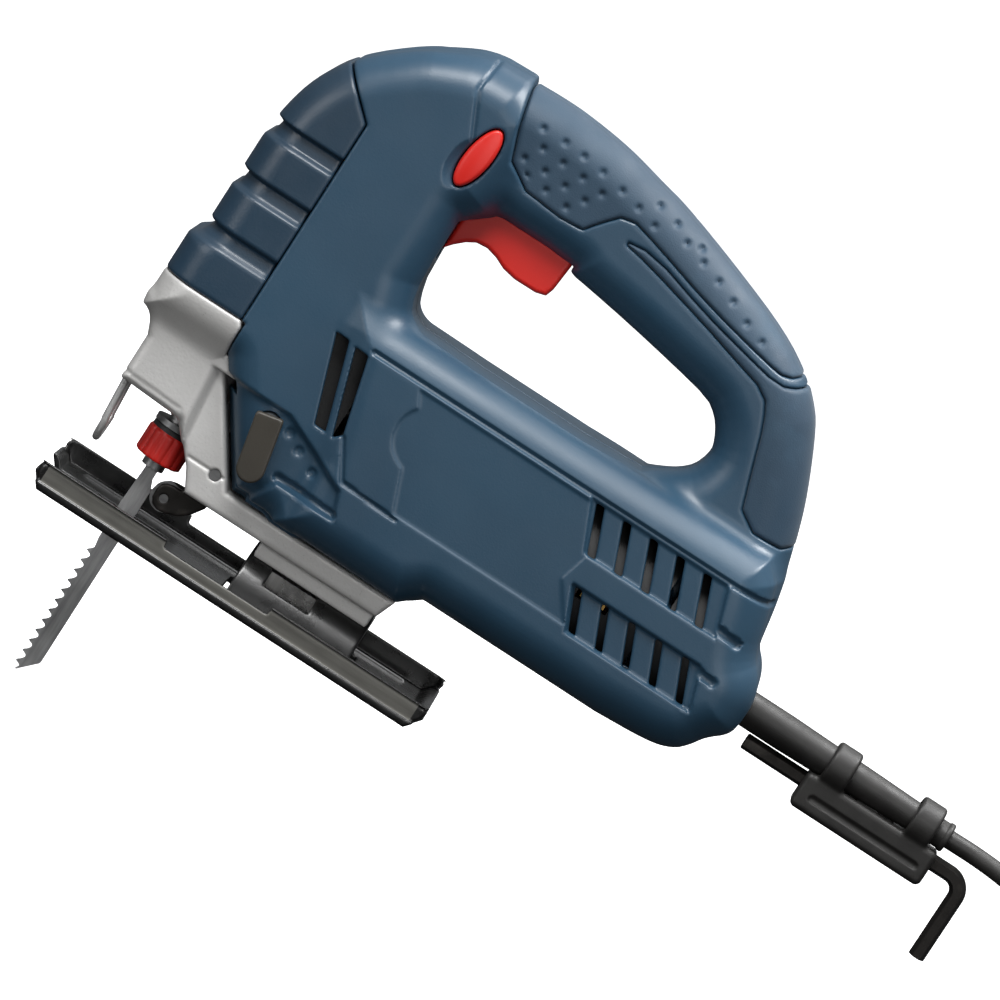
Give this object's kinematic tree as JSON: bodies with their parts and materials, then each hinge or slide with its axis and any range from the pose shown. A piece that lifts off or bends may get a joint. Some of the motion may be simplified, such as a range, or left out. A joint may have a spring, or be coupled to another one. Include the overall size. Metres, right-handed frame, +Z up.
{
  "type": "jigsaw power tool",
  "caption": "Corded D-handle jigsaw with a moulded two-shell casing, cast gear head, tilting pressed base plate, toolless blade clamp, trigger, cord and stored hex key.",
  "frame": {"origin": "the cut point: where the saw blade's centre line meets the plane of the base plate's underside, on the tool's mid-plane", "axes": "+X runs back from the blade along the base plate to the cord, +Z up from the sole to the grip, and the tool's left side faces -Y"},
  "size_m": [0.442, 0.1096, 0.2572],
  "materials": {
    "base_paint": "black paint on pressed steel, semi-gloss",
    "black_plastic": "moulded, matt",
    "blackened_steel": "black oxide, oiled",
    "blade_steel": "ground tool steel",
    "bright_steel": "drawn, plated",
    "bronze": "sintered bronze",
    "carbon": "pressed carbon",
    "cast_alloy": "bead-blasted die casting",
    "cord_rubber": "matt cord sheath",
    "cover": "fine moulded texture, satin",
    "dark_plastic": "moulded, satin",
    "grip_rubber": "soft dimpled overmould",
    "housing": "fine moulded texture, satin",
    "lamination": "stacked steel sheet",
    "lead_insulation": "smooth lead insulation",
    "red_plastic": "moulded, semi-gloss",
    "seal_rubber": "matt moulded rubber",
    "steel": "ground",
    "winding": "enamelled copper"
  },
  "bodies": {
    "casing": {"left_housing": "housing", "right_housing": "housing", "front_cover": "cover", "left_grip": "grip_rubber", "right_grip": "grip_rubber", "housing_screws": "steel", "gear_housing": "cast_alloy", "gear_housing_screws": "steel", "lower_guide_bush": "bronze", "upper_guide_bush": "bronze", "rod_seal": "seal_rubber", "stator_core": "lamination", "field_coils": "winding", "front_bearing": "steel", "rear_bearing": "steel", "bearing_cup": "seal_rubber", "brush_holders": "bronze", "carbon_brushes": "carbon", "brush_springs": "steel", "fan_shroud": "black_plastic", "air_guides": "black_plastic", "gear_spindle": "steel", "fork_pin": "steel", "blade_guard": "bright_steel", "base_screw": "steel", "trigger_spring": "steel", "switch_body": "black_plastic", "lock_spring": "steel", "suppressor": "black_plastic", "lead_wires": "lead_insulation", "cord_sleeve": "seal_rubber", "cord_clamp": "black_plastic", "cord_clamp_screws": "steel", "inner_cord": "cord_rubber", "key_holder": "seal_rubber", "supply_cord": "cord_rubber", "cord_coil": "cord_rubber", "plug": "cord_rubber"},
    "rotor": {"rotor_shaft": "steel", "rotor_core": "lamination", "rotor_windings": "winding", "commutator": "winding", "cooling_fan": "black_plastic"},
    "crank_gear": {"drive_gear": "steel", "crank_pin": "steel"},
    "rod": {"lifting_rod": "steel", "blade_holder": "steel", "clamp_spring": "steel", "saw_blade": "blade_steel"},
    "sleeve": {"clamp_sleeve": "red_plastic"},
    "fork": {"roller_fork": "blackened_steel", "roller_pin": "steel"},
    "roller": {"guide_roller": "steel"},
    "orbit": {"orbit_lever": "dark_plastic", "orbit_shaft": "steel"},
    "clamp": {"base_clamp": "bright_steel"},
    "base": {"base_plate": "base_paint"},
    "trigger": {"trigger": "red_plastic"},
    "wheel": {"speed_wheel": "dark_plastic"},
    "lock": {"lock_button": "red_plastic"},
    "key": {"hex_key": "blackened_steel"}
  },
  "joints": [
    {"name": "motor_spin", "type": "hinge", "parent": "casing", "child": "rotor", "pos_m": [0.1, 0, 0.072], "axis": [1, 0, 0], "continuous": true},
    {"name": "gear_spin", "type": "hinge", "parent": "casing", "child": "crank_gear", "pos_m": [0.018, 0, 0.0976], "axis": [1, 0, 0], "continuous": true},
    {"name": "blade_stroke", "type": "slide", "parent": "casing", "child": "rod", "axis": [0, 0, 1], "range_m": [-0.002, 0.018]},
    {"name": "sleeve_twist", "type": "hinge", "parent": "rod", "child": "sleeve", "pos_m": [-0.001, 0, 0.03], "axis": [0, 0, 1], "range_deg": [0, 75], "stiffness_Nm_per_rad": 0.05, "springref_deg": -17.19},
    {"name": "fork_swing", "type": "hinge", "parent": "casing", "child": "fork", "pos_m": [0.0185, 0, 0.033], "axis": [0, 1, 0], "range_deg": [-3, 0]},
    {"name": "roller_spin", "type": "hinge", "parent": "fork", "child": "roller", "pos_m": [0.0081, 0, 0.0155], "axis": [0, 1, 0], "continuous": true},
    {"name": "orbit_turn", "type": "hinge", "parent": "casing", "child": "orbit", "pos_m": [0.0245, -0.03, 0.058], "axis": [0, 1, 0], "range_deg": [-65, 25]},
    {"name": "base_travel", "type": "slide", "parent": "casing", "child": "clamp", "axis": [1, 0, 0], "range_m": [0, 0.01]},
    {"name": "base_tilt", "type": "hinge", "parent": "clamp", "child": "base", "pos_m": [0.065, 0, 0], "axis": [1, 0, 0], "range_deg": [-45, 45]},
    {"name": "trigger_pull", "type": "slide", "parent": "casing", "child": "trigger", "axis": [0, 0, 1], "range_m": [0, 0.006], "stiffness_N_per_m": 900, "springref_m": -0.004, "deforming": ["trigger_spring"]},
    {"name": "speed_turn", "type": "hinge", "parent": "trigger", "child": "wheel", "pos_m": [0.067, 0, 0.1476], "axis": [0, 1, 0], "range_deg": [-150, 150]},
    {"name": "lock_press", "type": "slide", "parent": "casing", "child": "lock", "axis": [0, 1, 0], "range_m": [0, 0.003], "stiffness_N_per_m": 700, "springref_m": -0.002},
    {"name": "key_pull", "type": "slide", "parent": "casing", "child": "key", "axis": [1, 0, 0], "range_m": [0, 0.07]}
  ],
  "couplings": [
    {"joint": "gear_spin", "follows": "motor_spin", "ratio": -0.14286}
  ]
}
